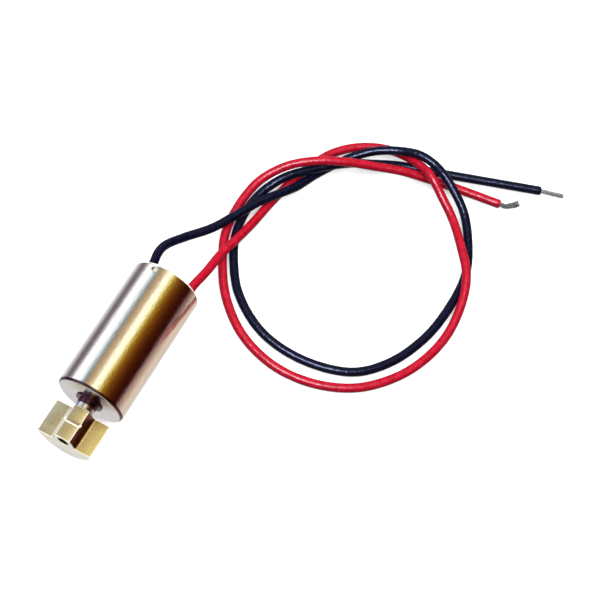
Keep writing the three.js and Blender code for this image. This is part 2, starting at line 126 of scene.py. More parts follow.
def shaded(thing, sharp=35.0):
    """Links the object, joins its doubles, turns its faces outwards and smooths them."""
    work = bmesh.new()
    work.from_mesh(thing.data)
    bmesh.ops.remove_doubles(work, verts=work.verts, dist=1e-8)
    bmesh.ops.recalc_face_normals(work, faces=work.faces)
    work.to_mesh(thing.data)
    work.free()
    thing.data.polygons.foreach_set("use_smooth", [True] * len(thing.data.polygons))
    thing.data.set_sharp_from_angle(angle=math.radians(sharp))
    if thing.name not in scene.collection.objects:
        scene.collection.objects.link(thing)
    return thing


def finished(thing, body, finish, slot, *nodes):
    """Gives a piece its finish, its body and the frame's nodes it stands for."""
    if len(thing.data.materials) < 2:
        thing.data.materials.clear()
        thing.data.materials.append(finish)
    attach(thing, body)
    if nodes:
        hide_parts(*nodes)
    print(thing.name, len(thing.data.polygons), "faces")
    return thing


# %% [markdown]
# ## Turned pieces
#
# The can, bush, collar, shaft and cap are all round, as if turned on a lathe. The Screw modifier
# could sweep them, but drawing the rings in code lets the can carry its dents. Each outline is a
# list of radius and distance along the shaft. Its corners are rounded first, because no real edge
# is a perfect corner, and the small arcs are what catches the light.

# %% Outlines and turning


def eased(outline, radius, steps=4):
    """The closed outline with each corner rounded, and a close guard point at each arc's end."""
    result = []
    count = len(outline)
    for i in range(count):
        before, corner, after = (Vector(outline[(i + k) % count]) for k in (-1, 0, 1))
        arriving, leaving = (corner - before), (after - corner)
        bend = arriving.angle(leaving, 0.0)
        if bend < math.radians(12) or bend > math.radians(170):
            result.append(corner)
            continue
        reach = min(radius * math.tan(bend / 2), 0.4 * arriving.length, 0.4 * leaving.length)
        start = corner - arriving.normalized() * reach
        end = corner + leaving.normalized() * reach
        guard = min(reach * 0.35, 0.05 * arriving.length, 0.05 * leaving.length)
        result.append(start - arriving.normalized() * guard)
        for k in range(steps + 1):
            t = k / steps
            result.append(start * (1 - t) ** 2 + corner * (2 * t * (1 - t)) + end * t * t)
        result.append(end + leaving.normalized() * guard)
    return [(max(p[0], 0.0), p[1]) for p in result]


def lathe(outline, sides, dent=None, closed=True):
    """Points and faces turned about the shaft. dent is how far the skin is pressed in."""
    points, faces = [], []
    rows = len(outline)
    for radius, along in outline:
        for k in range(sides):
            angle = 2 * math.pi * k / sides
            r = radius - (dent(angle, along, radius) if dent else 0.0)
            points.append((r * math.sin(angle), along, r * math.cos(angle)))
    for i in range(rows if closed else rows - 1):
        j = (i + 1) % rows
        for k in range(sides):
            n = (k + 1) % sides
            faces.append((i * sides + k, i * sides + n, j * sides + n, j * sides + k))
    if not closed:
        for row in (0, rows - 1):
            faces.append(tuple(row * sides + k for k in range(sides)))
    return points, faces


def turned(name, outline, sides, rotor=False, dent=None, closed=True):
    """A turned piece in its place on the motor."""
    return mesh_object(name, *lathe(outline, sides, dent, closed), motor_place(rotor))


print("turning tools ready")

# %% [markdown]
# ## The leads
#
# Two thin stranded wires in soft insulation leave the cap, make one loose loop over each other and
# end in bare tinned tips. Each is a fixed length of wire, so its centre line comes first: a smooth
# curve through the same points that the frame's tubes follow, in millimetres here. It starts inside
# the cap. A curve drawn by hand would do as well, but then the length would have to be found again.

# %% Routes of the leads
RED_ROUTE = [
    (1.9, 7.85, 2.9971), (1.9, 8.65, 2.9971), (2.05, 10.8, 2.25), (2.1, 13.2, 1.4),
    (2.5, 15.2, 1.25), (2.8, 17.4, 0.75), (3.1, 20.1, 0.44), (3.5, 22.3, 0.41), (4.2, 24.8, 0.41),
    (5.3, 27.2, 0.41), (7, 29, 0.41), (9.1, 30.1, 0.43), (10.8, 30.2, 0.75), (12.4, 29.8, 1.4),
    (14, 29.1, 1.75), (15.7, 28.1, 1.2), (17.4, 26.9, 0.85), (19.4, 24.6, 1.2), (20.9, 22.6, 1.25),
    (21.7, 20.4, 0.9), (22, 17.3, 0.46), (21.4, 14.2, 0.41), (20, 11.4, 0.41), (17.6, 8.9, 0.41),
    (14.3, 7.4, 0.41), (10.8, 7.1, 0.41), (7.3, 8.1, 0.41), (4.4, 10.3, 0.41), (2.5, 12.9, 0.41),
    (1.3, 15.4, 0.42), (0.9, 18.2, 0.5), (1.3, 21.1, 1), (2.7, 23.3, 1.65), (4.7, 24.9, 2.1),
    (6.9, 26.2, 2.05), (9.3, 27.5, 1.5), (11.5, 28.5, 1.2), (13.9, 29.3, 0.75), (16.6, 30, 0.44),
    (20.3, 30.6, 0.42),
]
BLACK_ROUTE = [
    (-1.9, 7.85, 2.9971), (-1.9, 8.65, 2.9971), (-2.15, 10, 2.8), (-2.1, 11.1, 2.35),
    (-1.3, 12.8, 1.7), (0.2, 15, 1.3), (1.5, 17.5, 1.3), (2.3, 19.2, 1.25), (3.5, 21, 1.2),
    (4.35, 22.6, 0.78), (5.1, 24.6, 0.47), (6.2, 26.6, 0.42), (7.4, 28.1, 0.75), (8.8, 29.2, 1.2),
    (10.5, 30, 1.55), (12.1, 30.3, 2), (13.6, 30.2, 2), (14.9, 29.9, 1.6), (16.4, 29.1, 1.25),
    (18, 28, 0.7), (19.8, 25.4, 0.43), (20.8, 22.9, 0.41), (21, 19.6, 0.41), (20.5, 15.9, 0.41),
    (19, 12.4, 0.41), (16.7, 10, 0.41), (12.6, 8.8, 0.41), (8.5, 9.2, 0.41), (5.1, 11.2, 0.41),
    (3.2, 13.6, 0.41), (2.1, 15.8, 0.41), (1.7, 18.1, 0.43), (2, 20.5, 0.68), (3.1, 22.6, 1.2),
    (4.4, 24.1, 1.28), (6.9, 26.5, 1.22), (8.9, 28, 0.75), (11, 29.3, 0.43), (13.5, 30.2, 0.41),
    (22.8, 33.7, 0.41),
]
RED_TIP = [
    (20.3, 30.6, 0.42), (20.8, 30.68, 0.42), (21.25, 31, 0.5), (21.7, 31.45, 0.6),
]
BLACK_TIP = [
    (22.8, 33.7, 0.41), (23.5, 33.9, 0.41), (24.15, 34.1, 0.4), (24.75, 34.3, 0.38),
]


def smooth_line(points, per_span):
    """A smooth line through the points, with knots spaced by the square root of their distance."""
    knots = [Vector(p) for p in points]
    knots = [knots[0] * 2 - knots[1]] + knots + [knots[-1] * 2 - knots[-2]]
    line = []
    for a, b, c, d in zip(knots, knots[1:], knots[2:], knots[3:]):
        ta, tb, tc = ((q - p).length ** 0.5 for p, q in ((a, b), (b, c), (c, d)))
        leave = ((b - a) / ta - (c - a) / (ta + tb) + (c - b) / tb) * tb
        arrive = ((c - b) / tb - (d - b) / (tb + tc) + (d - c) / tc) * tb
        for k in range(per_span):
            t = k / per_span
            line.append(
                b + leave * t + (3 * (c - b) - 2 * leave - arrive) * t * t
                + (2 * (b - c) + leave + arrive) * t**3
            )
    return [p * MM for p in line + [knots[-2]]]


def length_of(line):
    """How long a line of points is."""
    return sum((q - p).length for p, q in zip(line, line[1:]))


red_line, black_line = (smooth_line(route, 12) for route in (RED_ROUTE, BLACK_ROUTE))
print("leads", [round(length_of(x) / MM, 2) for x in (red_line, black_line)], "mm")

# %% [markdown]
# ## A Geometry Nodes tree that follows a line
#
# Insulation and strands both follow a line, so Geometry Nodes make them. The tree for insulation
# sweeps a circle along the line, lets the soft plastic vary a little in thickness, and draws the
# cut ends in. The finished geometry is turned into a plain mesh, because a live modifier would not
# be exported.

# %% Node tree helpers


def new_tree(name, sockets):
    """A Geometry Nodes tree with a geometry in and out, and named inputs."""
    tree = bpy.data.node_groups.new(name, "GeometryNodeTree")
    tree.interface.new_socket("Geometry", in_out="INPUT", socket_type="NodeSocketGeometry")
    tree.interface.new_socket("Geometry", in_out="OUTPUT", socket_type="NodeSocketGeometry")
    for label, kind in sockets:
        tree.interface.new_socket(label, in_out="INPUT", socket_type="NodeSocket" + kind)
    return tree, tree.nodes.new("NodeGroupInput"), tree.nodes.new("NodeGroupOutput")


def add(tree, kind, inputs=(), **settings):
    """Adds a node; inputs pairs a socket's name or number with a value or another socket."""
    node = tree.nodes.new(kind)
    for key, value in settings.items():
        setattr(node, key, value)
    for key, value in dict(inputs).items():
        if isinstance(value, bpy.types.NodeSocket):
            tree.links.new(value, node.inputs[key])
        else:
            node.inputs[key].default_value = value
    return node


def math_node(tree, operation, *values):
    """A Math node's result."""
    return add(tree, "ShaderNodeMath", enumerate(values), operation=operation).outputs[0]


def line_object(name, line):
    """A curve object with one open spline through the line's points."""
    curve = bpy.data.curves.new(name, "CURVE")
    curve.dimensions = "3D"
    spline = curve.splines.new("POLY")
    spline.points.add(len(line) - 1)
    spline.points.foreach_set("co", [x for p in line for x in (*p, 1.0)])
    thing = bpy.data.objects.new(name, curve)
    scene.collection.objects.link(thing)
    return thing


def grown(name, source, tree, values):
    """Runs a tree on an object and keeps the result as a plain mesh."""
    modifier = source.modifiers.new("grow", "NODES")
    modifier.node_group = tree
    for item in tree.interface.items_tree:
        if item.in_out == "INPUT" and item.name in values:
            modifier[item.identifier] = values[item.name]
    bpy.context.view_layer.update()
    ready = source.evaluated_get(bpy.context.evaluated_depsgraph_get())
    mesh = bpy.data.meshes.new_from_object(ready)
    source.modifiers.remove(modifier)
    bpy.data.objects.remove(source)
    mesh.name = name
    thing = bpy.data.objects.new(name, mesh)
    scene.collection.objects.link(thing)
    return thing


print("node helpers ready")

# %% [markdown]
# ## Finishes
#
# Each finish is a small node material on the piece's own coordinates, so its grain stays with the
# piece when it turns. The helper sets the plain values straight on the shader. Colour, roughness
# and bump come from noise at the size of the real grain, which on this motor is some hundredths
# of a millimetre.

# %% Finish helpers
NOISE_LOW, NOISE_HIGH = 0.3, 0.7


def new_finish(name, colour, metal, rough, **extra):
    """A material with its Principled shader; extra values are set on the shader's sockets."""
    material = bpy.data.materials.new(name)
    material.use_nodes = True
    shader = material.node_tree.nodes["Principled BSDF"]
    shader.inputs["Base Color"].default_value = (*colour, 1.0)
    shader.inputs["Metallic"].default_value = metal
    shader.inputs["Roughness"].default_value = rough
    for label, value in extra.items():
        shader.inputs[label.replace("_", " ")].default_value = value
    return material, material.node_tree, shader


def grain(tree, size_mm, stretch=(1.0, 1.0, 1.0), detail=3.0, rough=0.55):
    """Noise on the piece's own coordinates, with grains of about that size."""
    place = add(tree, "ShaderNodeTexCoord").outputs["Object"]
    scale = [1.0 / (size_mm * MM * s) for s in stretch]
    spread = add(tree, "ShaderNodeMapping", {"Vector": place, "Scale": scale})
    return add(tree, "ShaderNodeTexNoise", {
        "Vector": spread.outputs[0], "Scale": 1.0, "Detail": detail, "Roughness": rough,
    }).outputs[0]


def tones(tree, factor, *stops):
    """A colour ramp; each stop is a place and a colour."""
    ramp = add(tree, "ShaderNodeValToRGB", {"Fac": factor})
    elements = ramp.color_ramp.elements
    while len(elements) < len(stops):
        elements.new(0.5)
    for element, (place, colour) in zip(elements, stops):
        element.position = place
        element.color = (*colour, 1.0)
    return ramp.outputs["Color"]


def bump(tree, shader, height, depth_mm, strength=1.0):
    """Raises the surface by the height, up to the depth."""
    node = add(tree, "ShaderNodeBump", {
        "Height": height, "Distance": depth_mm * MM, "Strength": strength,
    })
    tree.links.new(node.outputs[0], shader.inputs["Normal"])
    return node


def blend(tree, factor, first, second, kind="MIX"):
    """Two colours mixed, or multiplied when kind says so."""
    return add(tree, "ShaderNodeMix", {
        0: factor, 6: first, 7: second,
    }, data_type="RGBA", blend_type=kind).outputs[2]


def coloured(tree, shader, factor, dark, light, start=NOISE_LOW, end=NOISE_HIGH):
    """Colours the shader by a factor, from dark at start to light at end."""
    tree.links.new(tones(tree, factor, (start, dark), (end, light)), shader.inputs["Base Color"])


def roughened(tree, shader, factor, low, high):
    """Spreads the shader's roughness between low and high by a factor."""
    spread = add(tree, "ShaderNodeMapRange", {
        "Value": factor, "From Min": NOISE_LOW, "From Max": NOISE_HIGH, "To Min": low, "To Max": high,
    })
    tree.links.new(spread.outputs[0], shader.inputs["Roughness"])


print("finish helpers ready")

# %% [markdown]
# ## Soft insulation
#
# The insulation is glossy PVC with a slightly wavy skin, so its highlights break up. The red is a
# clear crimson. The black leans towards blue where it shines.

# %% Insulation finishes


def insulation_finish(name, colour, light, tint):
    """Glossy soft plastic with a slightly uneven skin; tint is the colour of its shine."""
    material, tree, shader = new_finish(name, colour, 0.0, 0.25, Specular_IOR_Level=0.15)
    shader.inputs["Specular Tint"].default_value = (*tint, 1.0)
    cloudy = grain(tree, 0.45, detail=5.0)
    coloured(tree, shader, cloudy, colour, light, 0.32, 0.68)
    fine = grain(tree, 0.16, detail=3.0)
    roughened(tree, shader, fine, 0.2, 0.32)
    bump(tree, shader, grain(tree, 0.3, detail=3.0), 0.04, 1.0)
    return material


red_pvc = insulation_finish("red_pvc", (0.26, 0.001, 0.007), (0.4, 0.004, 0.022), (1.0, 0.75, 0.9))
black_pvc = insulation_finish(
    "black_pvc", (0.001, 0.001, 0.006), (0.003, 0.004, 0.018), (0.55, 0.62, 1.0)
)
print("insulation finishes made")

# %% Insulation tree
LEAD_RINGS = 900

insulation, given, result = new_tree("insulation", [
    ("Radius", "Float"), ("Unevenness", "Float"), ("Rings", "Int"), ("Finish", "Material"),
])
even = add(insulation, "GeometryNodeResampleCurve", {
    "Curve": given.outputs["Geometry"], "Count": given.outputs["Rings"],
})
along = add(insulation, "GeometryNodeSplineParameter").outputs["Length"]
near_end = math_node(
    insulation, "SUBTRACT",
    add(insulation, "GeometryNodeSplineLength").outputs["Length"], along,
)
rounding = math_node(insulation, "DIVIDE", near_end, 0.06 * MM)
drawn_in = math_node(insulation, "SUBTRACT", 1.0, math_node(insulation, "MINIMUM", rounding, 1.0))
drawn_in = math_node(insulation, "MULTIPLY", drawn_in, drawn_in)
drawn_in = math_node(insulation, "MULTIPLY", drawn_in, 0.12)
swell = add(insulation, "ShaderNodeTexNoise", {"Scale": 1400.0, "Detail": 1.0}).outputs[0]
swell = math_node(insulation, "SUBTRACT", swell, 0.5)
swell = math_node(insulation, "MULTIPLY", swell, given.outputs["Unevenness"])
factor = math_node(insulation, "SUBTRACT", math_node(insulation, "ADD", 1.0, swell), drawn_in)
sized = add(insulation, "GeometryNodeSetCurveRadius", {"Curve": even.outputs[0], "Radius": factor})
circle = add(insulation, "GeometryNodeCurvePrimitiveCircle", {
    "Resolution": 28, "Radius": given.outputs["Radius"],
})
swept = add(insulation, "GeometryNodeCurveToMesh", {
    "Curve": sized.outputs[0], "Profile Curve": circle.outputs[0], "Fill Caps": True,
    "Scale": add(insulation, "GeometryNodeInputRadius").outputs[0],
})
real = add(insulation, "GeometryNodeRealizeInstances", {"Geometry": swept.outputs[0]})
painted = add(insulation, "GeometryNodeSetMaterial", {
    "Geometry": real.outputs[0], "Material": given.outputs["Finish"],
})
insulation.links.new(painted.outputs[0], result.inputs["Geometry"])


def insulated(name, line, finish):
    """The insulation along a line, ready to ride."""
    thing = grown(name, line_object(name + "_line", line), insulation, {
        "Radius": LEAD_RADIUS * MM, "Unevenness": 0.05, "Rings": LEAD_RINGS, "Finish": finish,
    })
    return shaded(thing, 50.0)


red_lead = insulated("red_insulation", red_line, red_pvc)
black_lead = insulated("black_insulation", black_line, black_pvc)
for lead, finish, colour in ((red_lead, red_pvc, "red"), (black_lead, black_pvc, "black")):
    finished(lead, "stator", finish, colour + "_pvc", "lead_" + colour)

# %% [markdown]
# ## Tinned strands
#
# Inside the insulation are seven fine copper wires, twisted and dipped in tin. One strand runs down
# the middle and six lie round it. A second tree copies the line once for each strand, moves the
# copies out to a ring that turns along the way, and sweeps a small circle along each. The fray
# input lets the free ends spread, as the red lead's do.

# %% Strand finish and tree
tinned, tree, shader = new_finish("tinned_strand", (0.6, 0.6, 0.6), 1.0, 0.32)
worn = grain(tree, 0.08, detail=3.0)
coloured(tree, shader, worn, (0.24, 0.27, 0.34), (0.75, 0.84, 1.0), 0.35, 0.65)
roughened(tree, shader, worn, 0.22, 0.45)
bump(tree, shader, grain(tree, 0.05), 0.006)

dark_tinned, tree, shader = new_finish("dark_tinned_strand", (0.12, 0.11, 0.1), 1.0, 0.4)
worn = grain(tree, 0.08, detail=3.0)
coloured(tree, shader, worn, (0.03, 0.033, 0.045), (0.6, 0.68, 0.85), 0.42, 0.58)
roughened(tree, shader, worn, 0.25, 0.5)
bump(tree, shader, grain(tree, 0.05), 0.006)

strands, given, result = new_tree("strands", [
    ("Strand Radius", "Float"), ("Ring Radius", "Float"), ("Turns", "Float"), ("Fray", "Float"),
    ("Seed", "Int"), ("Finish", "Material"),
])
even = add(strands, "GeometryNodeResampleCurve", {"Curve": given.outputs["Geometry"], "Count": 40})
way = add(strands, "GeometryNodeSplineParameter").outputs["Factor"]
normal = add(strands, "GeometryNodeInputNormal").outputs["Normal"]
heading = add(strands, "GeometryNodeInputTangent").outputs["Tangent"]
kept = add(strands, "GeometryNodeCaptureAttribute", {"Geometry": even.outputs[0]})
kept.capture_items.new("VECTOR", "Normal")
kept.capture_items.new("VECTOR", "Heading")
kept.capture_items.new("FLOAT", "Way")
for label, socket in (("Normal", normal), ("Heading", heading), ("Way", way)):
    strands.links.new(socket, kept.inputs[label])
copies = add(strands, "GeometryNodeDuplicateElements", {
    "Geometry": kept.outputs["Geometry"], "Amount": 7,
}, domain="SPLINE")
index = copies.outputs["Duplicate Index"]
outer = math_node(strands, "MINIMUM", index, 1.0)
chance = add(strands, "FunctionNodeRandomValue", {
    "ID": index, "Seed": given.outputs["Seed"], 2: 0.35, 3: 1.0,
}, data_type="FLOAT").outputs[1]
spreading = math_node(strands, "POWER", kept.outputs["Way"], 1.6)
spreading = math_node(strands, "MULTIPLY", spreading, given.outputs["Fray"])
spreading = math_node(strands, "ADD", math_node(strands, "MULTIPLY", spreading, chance), 1.0)
reach = math_node(strands, "MULTIPLY", given.outputs["Ring Radius"], outer)
reach = math_node(strands, "MULTIPLY", reach, spreading)
angle = math_node(strands, "MULTIPLY", kept.outputs["Way"], given.outputs["Turns"])
angle = math_node(strands, "ADD", angle, math_node(strands, "DIVIDE", index, 6.0))
angle = math_node(strands, "MULTIPLY", angle, 2 * math.pi)
side = add(strands, "ShaderNodeVectorRotate", {
    "Vector": kept.outputs["Normal"], "Axis": kept.outputs["Heading"], "Angle": angle,
})
offset = add(strands, "ShaderNodeVectorMath", {
    0: side.outputs[0], "Scale": reach,
}, operation="SCALE")
moved = add(strands, "GeometryNodeSetPosition", {
    "Geometry": copies.outputs["Geometry"], "Offset": offset.outputs[0],
})
circle = add(strands, "GeometryNodeCurvePrimitiveCircle", {
    "Resolution": 12, "Radius": given.outputs["Strand Radius"],
})
swept = add(strands, "GeometryNodeCurveToMesh", {
    "Curve": moved.outputs[0], "Profile Curve": circle.outputs[0], "Fill Caps": True,
})
real = add(strands, "GeometryNodeRealizeInstances", {"Geometry": swept.outputs[0]})
painted = add(strands, "GeometryNodeSetMaterial", {
    "Geometry": real.outputs[0], "Material": given.outputs["Finish"],
})
strands.links.new(painted.outputs[0], result.inputs["Geometry"])


def stranded(name, tip, hidden, fray, seed, finish):
    """A bare tip; hidden is how much of it lies inside the insulation."""
    start, towards = Vector(tip[0]), Vector(tip[1])
    inside = start - (towards - start).normalized() * hidden
    line = smooth_line([inside, *tip], 16)
    thing = grown(name, line_object(name + "_line", line), strands, {
        "Strand Radius": 0.068 * MM, "Ring Radius": 0.134 * MM, "Turns": 0.7, "Fray": fray,
        "Seed": seed, "Finish": finish,
    })
    return shaded(thing, 50.0)


red_tip = stranded("red_strands", RED_TIP, 0.3, 0.9, 5, dark_tinned)
black_tip = stranded("black_strands", BLACK_TIP, 0.3, 0.12, 2, tinned)
finished(red_tip, "stator", dark_tinned, "tinned_strand", "lead_tip_red")
finished(black_tip, "stator", tinned, "tinned_strand", "lead_tip_black")


# %% [markdown]
# ## The can
#
# The can is deep-drawn from thin sheet and nickel plated, so it is nearly a mirror: what is seen is
# the studio round it, in bands along its length. Its front edge is rounded by the drawing tool. Near
# the open rear, three round dents hold the cap in. Here the outline is dense where the dents are,
# and each ring is pressed in by the dent's depth. A narrow band round the rounded front edge is
# coloured nearly black, a painted dark reflection, and the flat front is coloured a little darker.

# %% Can
DENT_FROM_REAR, DENT_RADIUS, DENT_DEPTH = 0.42, 0.24, 0.12
DENT_ANGLES = [math.radians(-18 + 120 * k) for k in range(3)]


def dent_depth(angle, along, radius):
    """How far the can's outer skin is pressed in."""
    if radius < CAN_BORE + 0.1:
        return 0.0
    depth = 0.0
    for place in DENT_ANGLES:
        across = math.remainder(angle - place, 2 * math.pi) * CAN_RADIUS
        distance = math.hypot(across, along - (CAN_LENGTH - DENT_FROM_REAR)) / DENT_RADIUS
        if distance < 1.6:
            wall = min(max((1.15 - distance) / 0.45, 0.0), 1.0)
            lip = 0.018 * math.exp(-(((distance - 1.2) / 0.16) ** 2))
            depth += DENT_DEPTH * wall * wall * (3 - 2 * wall) - lip
    return depth


EDGE_STEPS = 12
can_outline = [(TUBE_HOLE_RADIUS, 0.0), (2.6, 0.0), (2.68, 0.0)]
for k in range(EDGE_STEPS + 1):
    bend = math.pi / 2 * k / EDGE_STEPS
    inward, back = CAN_EDGE_RADIUS * (1 - math.sin(bend)), CAN_EDGE_RADIUS * (1 - math.cos(bend))
    can_outline.append((CAN_RADIUS - inward, back))
can_outline += [(CAN_RADIUS, 0.36), (CAN_RADIUS, 1.0)]
can_outline += [(CAN_RADIUS, y) for y in (4.0, 7.0, 10.0, 10.8)]
can_outline += [(CAN_RADIUS, 11.0 + 0.03 * k) for k in range(31)]
can_outline += [(2.994, 11.95), (2.98, 11.98), (2.955, 11.996), (2.92, 12.0), (2.78, 12.0)]
can_outline += [(2.76, 11.99), (CAN_BORE, 11.97), (CAN_BORE, 0.35), (2.7, CAN_FRONT_WALL)]
can_outline += [(TUBE_HOLE_RADIUS, CAN_FRONT_WALL)]
can = turned("drawn_can", can_outline, 480, dent=dent_depth)
print("can turned from", len(can_outline), "rings")

# %% Nickel finish
EDGE_SHADE_BAND = 0.5
nickel, tree, shader = new_finish("nickel", (0.9, 0.87, 0.82), 1.0, 0.13)
cloudy = grain(tree, 1.1, detail=4.0)
shade = tones(tree, cloudy, (0.3, (0.86, 0.83, 0.78)), (0.7, (0.94, 0.92, 0.88)))
place = add(tree, "ShaderNodeTexCoord").outputs["Object"]
along = add(tree, "ShaderNodeSeparateXYZ", {0: place}).outputs["Y"]
along = add(tree, "ShaderNodeMapRange", {
    "Value": along, "From Min": FRONT_FACE_Y * MM, "From Max": (FRONT_FACE_Y + EDGE_SHADE_BAND) * MM,
}).outputs[0]
# Painted dark reflection: a narrow band round the rounded front edge is coloured nearly black; the
# flat front is coloured a little darker.
edge = tones(
    tree, along, (0.0, (0.76, 0.74, 0.76)), (0.03, (0.76, 0.74, 0.76)), (0.12, (0.1, 0.06, 0.09)),
    (0.4, (0.12, 0.08, 0.1)), (0.52, (1.0, 1.0, 1.0)),
)
tree.links.new(blend(tree, 1.0, shade, edge, "MULTIPLY"), shader.inputs["Base Color"])
drawn = grain(tree, 0.05, stretch=(1.0, 26.0, 1.0), detail=3.0)
pebbled = grain(tree, 0.16, stretch=(1.0, 1.6, 1.0), detail=3.0)
roughened(tree, shader, cloudy, 0.08, 0.13)
skin = add(tree, "ShaderNodeBump", {
    "Height": pebbled, "Distance": 0.013 * MM, "Strength": 1.0,
})
lines = bump(tree, shader, drawn, 0.004, 0.35)
tree.links.new(skin.outputs[0], lines.inputs["Normal"])
finished(can, "stator", nickel, "nickel", "motor_can")

# %% [markdown]
# ## Bush, collar and shaft
#
# A sintered bronze bush stands out of the can's front. Its colour is kept nearly black, a painted
# dark reflection, with purple flecks as painted glints. A ground steel collar keeps the shaft from
# sliding back, and the shaft itself ends a little inside the weight; the shaft is coloured nearly
# black, painted shade where its end shows at the bottom of the weight's mouth.

# %% Bush
bush = turned("front_bush", eased([
    (BUSH_BORE, -BOSS_LENGTH), (BOSS_RADIUS, -BOSS_LENGTH), (BOSS_RADIUS, -FLANGE_THICKNESS),
    (FLANGE_RADIUS, -FLANGE_THICKNESS), (FLANGE_RADIUS, -0.01), (BUSH_TAIL_RADIUS, -0.01),
    (BUSH_TAIL_RADIUS, BUSH_TAIL_END), (BUSH_BORE, BUSH_TAIL_END),
], 0.06), 192)
# Painted dark reflection: the bronze is coloured nearly black, with purple flecks as painted glints.
bronze, tree, shader = new_finish("sintered_bronze", (0.12, 0.09, 0.11), 1.0, 0.2)
pores = grain(tree, 0.05, detail=5.0)
coloured(tree, shader, pores, (0.03, 0.012, 0.025), (0.2, 0.1, 0.15), 0.35, 0.7)
roughened(tree, shader, pores, 0.14, 0.3)
bump(tree, shader, pores, 0.008, 0.4)
finished(bush, "stator", bronze, "sintered_bronze", "front_bearing")

# %% Collar and shaft
steel, tree, shader = new_finish("ground_steel", (0.6, 0.62, 0.68), 1.0, 0.24)
turning_marks = grain(tree, 0.03, stretch=(12.0, 1.0, 12.0), detail=2.0)
coloured(tree, shader, turning_marks, (0.62, 0.66, 0.76), (0.8, 0.84, 0.95))
roughened(tree, shader, turning_marks, 0.18, 0.34)
bump(tree, shader, turning_marks, 0.004, 0.6)
collar = turned("shaft_collar", eased([
    (0.41, COLLAR_FRONT), (COLLAR_RADIUS, COLLAR_FRONT),
    (COLLAR_RADIUS, COLLAR_FRONT + COLLAR_LENGTH), (0.41, COLLAR_FRONT + COLLAR_LENGTH),
], 0.07), 128, rotor=True)
finished(collar, "rotor", steel, "steel", "front_collar")
shaft = turned("drive_shaft", [
    (0.3, SHAFT_FRONT), (0.34, SHAFT_FRONT), (0.375, SHAFT_FRONT + 0.02),
    (0.39, SHAFT_FRONT + 0.05), (SHAFT_RADIUS, SHAFT_FRONT + 0.09),
    (SHAFT_RADIUS, SHAFT_REAR - 0.09), (0.375, SHAFT_REAR - 0.02), (0.34, SHAFT_REAR),
], 96, rotor=True, closed=False)
# Painted shade: the shaft is coloured nearly black, so its end reads dark at the bottom of the
# weight's mouth.
hardened_and_shaded, tree, shader = new_finish("hardened_steel_painted_shade", (0.1, 0.1, 0.11), 1.0, 0.35)
turning_marks = grain(tree, 0.03, stretch=(12.0, 1.0, 12.0), detail=2.0)
coloured(tree, shader, turning_marks, (0.05, 0.05, 0.055), (0.16, 0.16, 0.18))
roughened(tree, shader, turning_marks, 0.28, 0.42)
finished(shaft, "rotor", hardened_and_shaded, "steel", "shaft")

# %% [markdown]
# ## Tools for cut solids
#
# The weight and the cap are blocks that are cut. A block and its cutters are plain closed meshes at
# the origin, in millimetres, where Boolean modifiers are at their best. Each modifier's result is
# kept as the block's own mesh at once.

# %% Cutting helpers


def loose_solid(name, points, faces):
    """A solid in millimetres at the origin, used only as a block or a tool."""
    mesh = bpy.data.meshes.new(name)
    mesh.from_pydata(points, [], faces)
    thing = bpy.data.objects.new(name, mesh)
    scene.collection.objects.link(thing)
    work = bmesh.new()
    work.from_mesh(mesh)
    bmesh.ops.recalc_face_normals(work, faces=work.faces)
    work.to_mesh(mesh)
    work.free()
    return thing


def swept_solid(name, outline, start, end):
    """An outline of X and Z, drawn from start to end along Y."""
    count = len(outline)
    points = [(x, y, z) for y in (start, end) for x, z in outline]
    faces = [tuple(range(count)), tuple(range(count, 2 * count))]
    for i in range(count):
        j = (i + 1) % count
        faces.append((i, j, count + j, count + i))
    return loose_solid(name, points, faces)


def round_outline(radius, count):
    """The points of a circle about the shaft."""
    turns = [2 * math.pi * (k + 0.5) / count for k in range(count)]
    return [(radius * math.cos(t), radius * math.sin(t)) for t in turns]


def apply_modifiers(thing):
    """Keeps what the modifiers make as the object's own mesh."""
    bpy.context.view_layer.update()
    ready = thing.evaluated_get(bpy.context.evaluated_depsgraph_get())
    mesh = bpy.data.meshes.new_from_object(ready)
    thing.modifiers.clear()
    thing.data = mesh


def boolean(thing, tool, operation):
    """Cuts the tool from the thing or joins it on, then drops the tool."""
    modifier = thing.modifiers.new(operation, "BOOLEAN")
    modifier.operation, modifier.object, modifier.solver = operation, tool, "EXACT"
    apply_modifiers(thing)
    bpy.data.objects.remove(tool)


print("cutting tools ready")

# %% [markdown]
# ## The eccentric weight
#
# The weight is pressed from tungsten powder and sintered, which gives it a warm, faintly grainy
# grey and softly worn edges. It is a half moon with a raised hub that holds the shaft. The hub's
# flanks slope down to the two wings, and a punch has pinched a notch across its top, which pushed a
# little metal out at each end. The outline is swept along the shaft, Boolean modifiers cut the bore
# and the notch, and a Bevel rounds every edge. The Bevel also gives its new faces the second finish,
# which is lighter and less metallic: partly edges worn bright by rubbing, partly a painted highlight
# along them. The first finish reads places on the rotor, in millimetres from the shaft. The left wing
# and the hub keep a khaki grey, and the front face is paler and greyer. Painted light lies over the
# rest: a near-white painted highlight on the hub's left flank, a deep maroon painted dark reflection
# on its right flank, and a gold painted reflection on the right wing. Painted shade darkens, deeper
# downwards and nearly to black, everything within the hub's width that lies below its top and behind
# the front face, which is the notch and the bore.

# %% Sintered finish
WEIGHT_FRONT, WEIGHT_REAR, WEIGHT_RADIUS = -3.95, -0.95, 2.5
WING_TOP, HUB_TOP, HUB_HALF = -0.4, 0.68, 0.67

